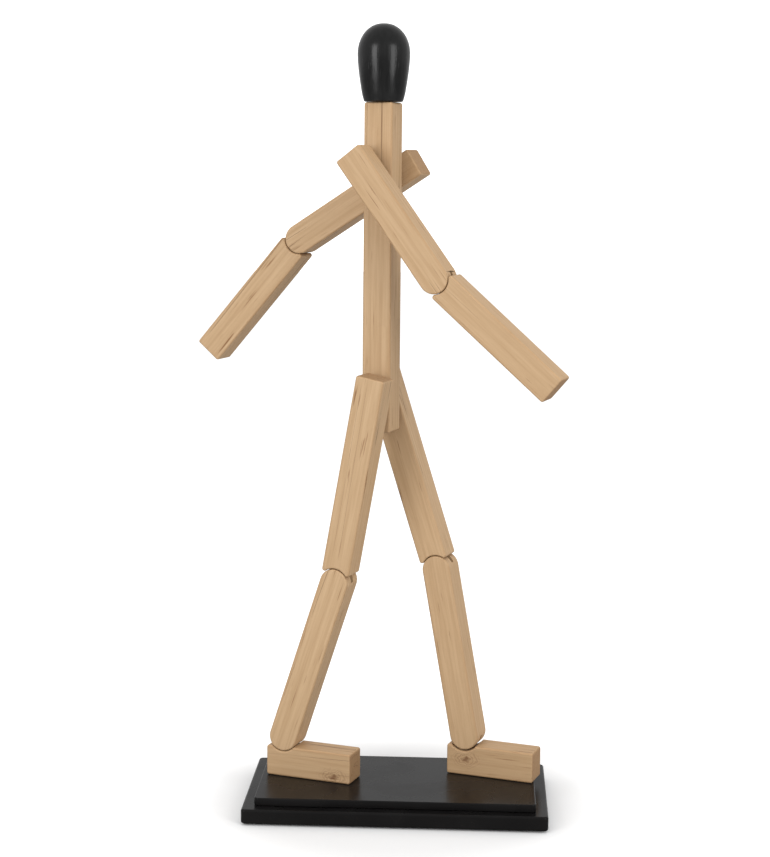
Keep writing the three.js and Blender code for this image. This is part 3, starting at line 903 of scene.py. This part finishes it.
# %% Feet
LYING = Matrix(((0, 1, 0), (1, 0, 0), (0, 0, -1)))     # grain along X of the foot's own frame
SCREW_HOLE = 1.9 * MM


def screw_hole(screw, frame_at, low, high):
    """A rod for a screw's hole from one height to another, in the frame of the piece it goes through."""
    ends = [frame_at.inverted() @ Vector((*middle(screw).xy, z)) for z in (low, high)]
    return ("rod", (*ends, SCREW_HOLE))


def make_foot(side):
    node = f"{side}_foot"
    ankle = pivot_on(node, f"{side}_ankle_pin")
    frame_at = frame_for(ankle, UP)
    heel, toe = reach(node, FORWARD, ankle)
    sole, top = reach(node, UP, ankle)
    play = OPEN_PLAY if side == "left" else 0.0
    corners = [(heel, sole, 180), (toe, sole, 270), (toe, top, 0), (heel, top, 90)]
    arcs = [arc(x + math.copysign(CORNER, -x), y + (CORNER if y == sole else -CORNER), CORNER,
                first, first + 90, step=22.5) for x, y, first in corners]
    outline = arcs[0] + arcs[1] + arcs[2] + socket_points(SOCKET + play, -top) + arcs[3]
    screws = [f"{side}_foot_screw_{number}" for number in (1, 2)]
    rods = [screw_hole(screw, frame_at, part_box(screw)[0].z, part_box(screw)[1].z + 2 * AIR)
            for screw in screws]
    sawn(f"{side}_foot_wood", node, outline, 2 * HALF, RIM, tool_object("mortise", [mortise_block(0, -1)]),
         tool_object("screw_holes", rods), ease=EASE, frame_at=frame_at, grain=LYING,
         centre=Vector(((heel + toe) / 2, (sole + top) / 2, 0)), knot=knot_of(node), tone=TONES[node],
         **worn_by(node, "pale_wood"))


for side in ("right", "left"):
    make_foot(side)

# %% [markdown]
# ## Joint hardware
# Each knee, elbow and ankle has a flat hardwood tongue, glued into one stick and swinging in the
# other's slot on a steel pin. Long pins carry the thighs and the arms, and turned spacers hold the
# limbs off the torso. Little of this shows, but it is what the figure works by.

# %% Tongues
def make_tongue(side, joint):
    """A tongue is round about its pivot, and its square root lies in the stick that holds it."""
    node, pin = f"{side}_{joint}_tongue", f"{side}_{joint}_pin"
    pivot = pivot_on(node, pin)
    away = middle(node) - pivot
    along = -away.normalized()
    frame_at = frame_for(pivot, along)
    root = -reach(node, along, pivot)[0]
    air = PIN_AIR + (OPEN_PLAY if node == "left_ankle_tongue" else 0.0)
    outline = stick_outline(end_points("round", 0, half=TONGUE_HALF),
                            end_points("square", root, half=TONGUE_HALF), 0.0)
    rods = tool_object("tongue_hole", [pin_hole(pin, frame_at, air)])
    sawn(f"{node}_wood", node, outline, 2 * (SLOT_HALF - AIR), 0.35 * MM, holes=rods, steps=2,
         frame_at=frame_at, **worn_by(node, "hardwood"))


for side in ("right", "left"):
    for joint in ("knee", "ankle", "elbow"):
        make_tongue(side, joint)

# %% Pins, spacers and dowel
def chamfered(girth, low, high, edge):
    """The profile of a plain turned rod with a small chamfer at each end."""
    return [(girth - edge, low), (girth, low + edge), (girth, high - edge), (girth - edge, high)]


def turn_rod(node, axis, across, slot, edge, sides, bore_for=None):
    """A plain rod along an axis. bore_for is the pin that goes through it."""
    centre = middle(node)
    low, high = reach(node, axis, centre)
    girth = reach(node, across, centre)[1]
    frame_at = Matrix.Translation(centre) @ axis.to_track_quat("Z", "Y").to_matrix().to_4x4()
    holes = tool_object("bore", [pin_hole(bore_for, frame_at)]) if bore_for else None
    turned(f"{node}_turned", node, chamfered(girth, low, high, edge), sides, holes=holes,
           frame_at=frame_at, **worn_by(node, slot))


for side in ("right", "left"):
    for joint in ("knee", "ankle", "elbow"):
        turn_rod(f"{side}_{joint}_pin", joint_axis, UP, "steel", 0.3 * MM, 32)
    turn_rod(f"{side}_hip_spacer", joint_axis, UP, "hardwood", 0.4 * MM, 64, bore_for="hip_pin")
    turn_rod(f"{side}_shoulder_spacer", joint_axis, UP, "hardwood", 0.4 * MM, 64, bore_for="shoulder_pin")
for node in ("hip_pin", "shoulder_pin"):
    turn_rod(node, joint_axis, UP, "steel", 0.4 * MM, 40)
turn_rod("neck_dowel", UP, FORWARD, "hardwood", 0.5 * MM, 40)

# %% Screws under the feet
PITCH = 1.2 * MM


def make_screw(node):
    low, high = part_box(node)
    centre = (low + high) / 2
    head, length = (high.x - low.x) / 2, high.z - low.z
    shank, root, cone, tip = 1.75 * MM, 1.45 * MM, 2.6 * MM, 2.5 * MM
    profile = [(head - 0.2 * MM, 0), (head, 0.15 * MM), (shank, cone)]
    for i in range(int((length - cone - tip) / PITCH)):      # a low ridge for each turn of the thread
        start = cone + 0.4 * MM + i * PITCH
        profile += [(root, start + 0.1 * MM), (shank, start + 0.5 * MM), (root, start + 0.9 * MM)]
    profile += [(shank, length - tip), (0.0, length)]
    slot = tool_object("driver_slot", [("block", ((-2 * head, 2 * head), (-0.5 * MM, 0.5 * MM),
                                                  (-MM, 0.8 * MM)))])
    turned(f"{node}_turned", node, profile, 24, slots=slot,
           frame_at=Matrix.Translation((centre.x, centre.y, low.z)), **worn_by(node, "steel"))


SCREWS = [f"{side}_foot_screw_{number}" for side in ("right", "left") for number in (1, 2)]
for node in SCREWS:
    make_screw(node)

# %% [markdown]
# ## The match head
# The head is turned in one piece: a flat foot with a soft rim, a body that widens slowly, and a domed
# top. The outline is measured from the frame's own head, ring by ring, and then smoothed with a
# Catmull-Rom curve, so that the finer head keeps the exact size of the plain one.

# %% Head
def rings_of(node, centre):
    """The plain head's rings: (girth, height) pairs from the foot to the top."""
    found = {}
    for vertex in frame["nodes"][node].data.vertices:
        away = vertex.co - centre
        key = round(away.z, 5)
        found[key] = max(found.get(key, 0.0), math.hypot(away.x, away.y))
    return [(girth, height) for height, girth in sorted(found.items())]


def smooth(points, parts):
    """A Catmull-Rom curve through the points, cut into parts between each two."""
    result = []
    for i in range(len(points) - 1):
        a, b, c, d = (Vector(points[min(max(k, 0), len(points) - 1)]) for k in range(i - 1, i + 3))
        for j in range(parts):
            t = j / parts
            result.append(0.5 * (2 * b + (c - a) * t + (2 * a - 5 * b + 4 * c - d) * t ** 2
                                 + (3 * b - a - 3 * c + d) * t ** 3))
    return [tuple(point) for point in result] + [points[-1]]


def make_head():
    low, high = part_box("head")
    centre = Vector(((low.x + high.x) / 2, (low.y + high.y) / 2, low.z))
    widest = max(girth for girth, _ in rings_of("head", centre))
    rings = [(girth, z) for girth, z in rings_of("head", centre) if girth > 6 * MM or z > 40 * MM]
    top = rings.pop()
    rings.append((0.0, top[1]))
    profile = [(min(max(girth, 0.0), widest), z) for girth, z in smooth(rings, 4)]
    frame_at = Matrix.Translation(centre)
    bore = tool_object("neck_bore", [rod_round("neck_dowel", UP, frame_at, PIN_AIR)])
    turned("head_turned", "head", profile, 96, holes=bore, frame_at=frame_at,
           **worn_by("head", "match_black"))


make_head()

# %% [markdown]
# ## The plinth
# Two boards, the upper one smaller, with their edges rounded before painting. Felt under them keeps the
# plinth from scratching a desk. The felt is cut from one flat sheet and glued down.

# %% Boards and felt
def board_outline(low, high, corner):
    half_x, half_y = (high.x - low.x) / 2 - corner, (high.y - low.y) / 2 - corner
    corners = [(half_x, -half_y, -90), (half_x, half_y, 0), (-half_x, half_y, 90), (-half_x, -half_y, 180)]
    return [point for x, y, first in corners for point in arc(x, y, corner, first, first + 90, step=11.25)]


def make_board(node, rim, corner, slot, name, holes=True, steps=5):
    low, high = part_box(node)
    frame_at = Matrix.Translation((low + high) / 2)
    rods = [screw_hole(screw, frame_at, low.z - MM, high.z + MM) for screw in SCREWS]
    tool = tool_object("screw_holes", rods) if holes else None
    return sawn(f"{node}_{name}", node, board_outline(low, high, corner), high.z - low.z, rim,
                holes=tool, steps=steps, frame_at=frame_at, **worn_by(node, slot))


make_board("base_lower_board", 1.5 * MM, 3 * MM, "black_paint", "painted")
make_board("base_upper_board", 0.9 * MM, 3 * MM, "black_paint", "painted")
felt = make_board("base_felt", 0.3 * MM, 3 * MM, "felt", "sheet", holes=False, steps=2)

# %% [markdown]
# ## Floor and light
# A white floor and a white surround, with two tall soft lamps in front, left and right, as in a product
# studio. They give the match head its two upright glints; the lamp above isn't mirrored in it. The
# floor is white to the camera and greyer to the light, so that it doesn't wash out the shade on the
# sticks. To the camera it also glows, a painted light, and the glow fades near the plinth, which paints
# a soft shade round the plinth on top of its real shadow.

# %% Floor
FLOOR_HALF = 6.0
FLOOR_GLOW = (0.0, 0.45)        # close to the plinth and far away
GLOW_FROM = (0.09, 0.2)         # how far from the middle the glow starts and is full


def make_floor():
    corners = [(x * FLOOR_HALF, y * FLOOR_HALF, cad_low.z - 0.1 * MM)
               for x, y in ((-1, -1), (1, -1), (1, 1), (-1, 1))]
    floor = scratch_object("floor", corners, [], [(0, 1, 2, 3)])
    material, tree, shader = finish_named("studio_floor")
    seen = put(tree, "ShaderNodeLightPath").outputs["Is Camera Ray"]
    colour = blend_colour(tree, seen, (0.5, 0.5, 0.5, 1), (0.84, 0.84, 0.84, 1))
    place = put(tree, "ShaderNodeTexCoord").outputs["Object"]
    away = put(tree, "ShaderNodeVectorMath", {0: place}, operation="LENGTH").outputs["Value"]
    # painted glow for the camera only, none close to the plinth: a painted shade round it
    glow = spread(tree, away, *GLOW_FROM, *FLOOR_GLOW)
    fill(tree, shader, {"Base Color": colour, "Emission Strength": times(tree, seen, glow),
                        "Emission Color": (1, 1, 1, 1), "Roughness": 0.9, "Specular IOR Level": 0.1})
    floor.data.materials.append(material)
    floor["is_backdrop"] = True


make_floor()

# %% Surround and lamps
SURROUND = 0.78
BACKDROP = 1.6                  # the surround's strength to the camera alone


def make_surround():
    world = bpy.data.worlds.new("surround")
    bpy.context.scene.world = world
    world.use_nodes = True
    tree = world.node_tree
    light = tree.nodes["Background"]
    light.inputs["Strength"].default_value = SURROUND
    seen = put(tree, "ShaderNodeBackground", {"Color": (1, 1, 1, 1), "Strength": BACKDROP})
    camera = put(tree, "ShaderNodeLightPath").outputs["Is Camera Ray"]
    light.inputs["Color"].default_value = (1, 1, 1, 1)
    mixed = put(tree, "ShaderNodeMixShader", {0: camera, 1: light.outputs[0], 2: seen.outputs[0]})
    tree.links.new(mixed.outputs[0], tree.nodes["World Output"].inputs["Surface"])


def lamp(name, azimuth, elevation, distance, size, watts, glints=True, aim=0.26):
    data = bpy.data.lights.new(name, "AREA")
    data.shape, data.size, data.size_y, data.energy = "RECTANGLE", size[0], size[1], watts
    thing = linked(name, data)
    thing.visible_glossy = glints
    back = direction_at(azimuth, elevation)
    thing.matrix_world = (Matrix.Translation(Vector((0, 0, aim)) + back * distance)
                          @ back.to_track_quat("Z", "Y").to_matrix().to_4x4())


make_surround()
lamp("left lamp", VIEW["azimuth"] - 42, 14, 1.6, (0.62, 1.1), 9.6)
lamp("right lamp", VIEW["azimuth"] + 42, 14, 1.6, (0.62, 1.1), 8.8)
lamp("top lamp", VIEW["azimuth"], 80, 1.8, (1.6, 1.6), 8, glints=False)
bpy.context.scene.view_settings.view_transform = "Standard"
print("surround", SURROUND)
